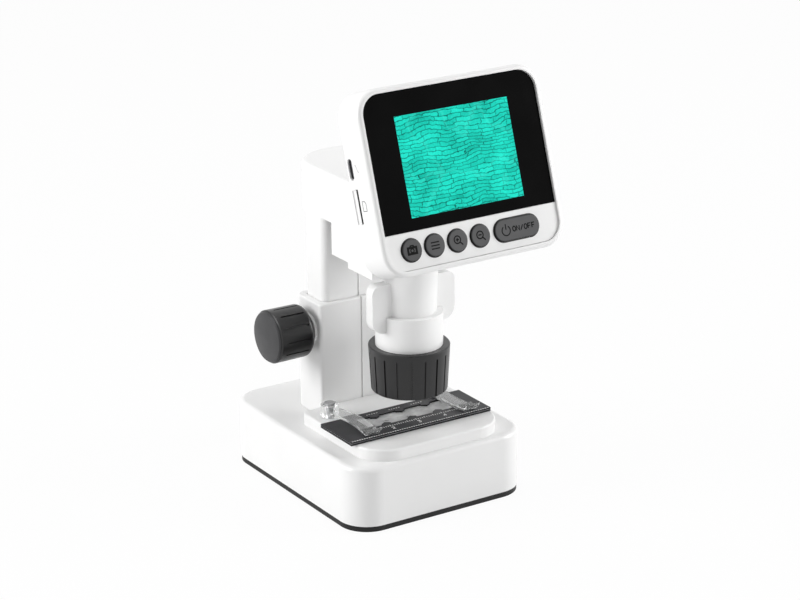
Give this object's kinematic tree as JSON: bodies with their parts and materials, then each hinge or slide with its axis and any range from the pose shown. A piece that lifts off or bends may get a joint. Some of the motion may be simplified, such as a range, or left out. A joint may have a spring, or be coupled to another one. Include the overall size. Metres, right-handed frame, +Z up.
{
  "type": "digital microscope with screen",
  "caption": "Small white bench microscope with a tilted colour screen on a sliding arm, focus knob, focus ring, lit stage, clear clips and a framed specimen slide.",
  "frame": {"origin": "middle of the foot plate's underside, on the table", "axes": "+Z up, -Y towards the user and the front of the screen, +X to the user's right"},
  "size_m": [0.0957, 0.1399, 0.2027],
  "materials": {
    "white_gloss": "glossy white moulding",
    "foot_black": "black foot plate",
    "knob_black": "satin dark grip",
    "cap_grey": "domed grey disc",
    "barrel_black": "matt black barrel",
    "bush_black": "black bearing plastic",
    "button_grey": "dark grey key caps",
    "screen_glass": "tinted cover glass",
    "display": "colour display",
    "optical_glass": "coated lens",
    "diffuser": "milky light window",
    "board_green": "circuit board",
    "led_yellow": "small white LEDs",
    "sensor_dark": "image sensor",
    "steel": "bright steel",
    "ballast_iron": "ballast plate",
    "contact_brass": "spring contacts",
    "cell_metal": "battery cells",
    "pack_foil": "foil battery pack",
    "gear_plastic": "white gear plastic",
    "membrane_rubber": "key membrane",
    "clear_plastic": "clear springy plastic",
    "slide_black": "black slide frame",
    "film_frosted": "frosted specimen film"
  },
  "bodies": {
    "base": {"base_shell": "white_gloss", "foot_plate": "foot_black", "battery_door": "foot_black", "battery_cells": "cell_metal", "battery_contacts": "contact_brass", "ballast_plate": "ballast_iron", "base_screws": "steel", "column_screws": "steel", "stage_diffuser": "diffuser", "light_board": "board_green", "switch_body": "bush_black", "column_left_shell": "white_gloss", "column_right_shell": "white_gloss", "shaft_bushes": "white_gloss", "shaft_cap": "white_gloss", "clip_posts": "steel"},
    "focus_drive": {"focus_shaft": "steel", "shaft_clip": "steel", "drive_pinion": "gear_plastic", "focus_knob": "knob_black", "knob_cap": "cap_grey"},
    "carriage": {"focus_rack": "gear_plastic", "rack_screws": "steel", "arm_left_shell": "white_gloss", "arm_right_shell": "white_gloss", "camera_housing": "white_gloss", "housing_screws": "steel", "lens_tube": "white_gloss", "ring_retainer": "barrel_black", "ring_light_board": "board_green", "ring_leds": "led_yellow", "camera_board": "board_green", "image_sensor": "sensor_dark", "head_rear_shell": "white_gloss", "front_panel": "white_gloss", "screen_glass": "screen_glass", "lcd_module": "display", "main_board": "board_green", "board_screws": "steel", "battery_pack": "pack_foil", "key_membrane": "membrane_rubber", "usb_socket": "steel", "card_socket": "bush_black", "head_screws": "steel", "arm_screws": "steel"},
    "focus_ring": {"focus_ring": "knob_black"},
    "lens_carrier": {"lens_cell": "barrel_black", "lenses": "optical_glass"},
    "photo_button": {"photo_button": "button_grey"},
    "menu_button": {"menu_button": "button_grey"},
    "zoom_in_button": {"zoom_in_button": "button_grey"},
    "zoom_out_button": {"zoom_out_button": "button_grey"},
    "power_button": {"power_button": "button_grey"},
    "stage_clip_left": {"stage_clip_left": "clear_plastic"},
    "stage_clip_right": {"stage_clip_right": "clear_plastic"},
    "specimen_slide": {"slide_lower_frame": "slide_black", "slide_upper_frame": "slide_black", "slide_film": "film_frosted"},
    "light_switch": {"light_switch": "foot_black"}
  },
  "joints": [
    {"name": "carriage_slide", "type": "slide", "parent": "base", "child": "carriage", "axis": [0, 0, 1], "range_m": [-0.009, 0.02]},
    {"name": "focus_turn", "type": "hinge", "parent": "base", "child": "focus_drive", "pos_m": [0, 0.0177, 0.0712], "axis": [1, 0, 0], "range_deg": [-108, 239]},
    {"name": "ring_turn", "type": "hinge", "parent": "carriage", "child": "focus_ring", "pos_m": [0, -0.028, 0.0624], "axis": [0, 0, 1], "range_deg": [-150, 150]},
    {"name": "lens_slide", "type": "slide", "parent": "carriage", "child": "lens_carrier", "axis": [0, 0, 1], "range_m": [-0.0025, 0.0025]},
    {"name": "photo_press", "type": "slide", "parent": "carriage", "child": "photo_button", "axis": [0, 0.9489, -0.3156], "range_m": [0, 0.0008], "stiffness_N_per_m": 400},
    {"name": "menu_press", "type": "slide", "parent": "carriage", "child": "menu_button", "axis": [0, 0.9489, -0.3156], "range_m": [0, 0.0008], "stiffness_N_per_m": 400},
    {"name": "zoom_in_press", "type": "slide", "parent": "carriage", "child": "zoom_in_button", "axis": [0, 0.9489, -0.3156], "range_m": [0, 0.0008], "stiffness_N_per_m": 400},
    {"name": "zoom_out_press", "type": "slide", "parent": "carriage", "child": "zoom_out_button", "axis": [0, 0.9489, -0.3156], "range_m": [0, 0.0008], "stiffness_N_per_m": 400},
    {"name": "power_press", "type": "slide", "parent": "carriage", "child": "power_button", "axis": [0, 0.9489, -0.3156], "range_m": [0, 0.0008], "stiffness_N_per_m": 400},
    {"name": "clip_left_turn", "type": "hinge", "parent": "base", "child": "stage_clip_left", "pos_m": [-0.028, -0.0045, 0.038], "axis": [0, 0, 1], "range_deg": [-100, 20]},
    {"name": "clip_right_turn", "type": "hinge", "parent": "base", "child": "stage_clip_right", "pos_m": [0.028, -0.0045, 0.038], "axis": [0, 0, 1], "range_deg": [-20, 100]},
    {"name": "specimen_shift", "type": "slide", "parent": "base", "child": "specimen_slide", "axis": [1, 0, 0], "range_m": [-0.012, 0.012]},
    {"name": "light_switch_slide", "type": "slide", "parent": "base", "child": "light_switch", "axis": [0, 1, 0], "range_m": [0, 0.004]}
  ],
  "couplings": [
    {"joint": "focus_turn", "follows": "carriage_slide", "rad_per_m": 208.33},
    {"joint": "lens_slide", "follows": "ring_turn", "m_per_rad": 0.00095}
  ]
}
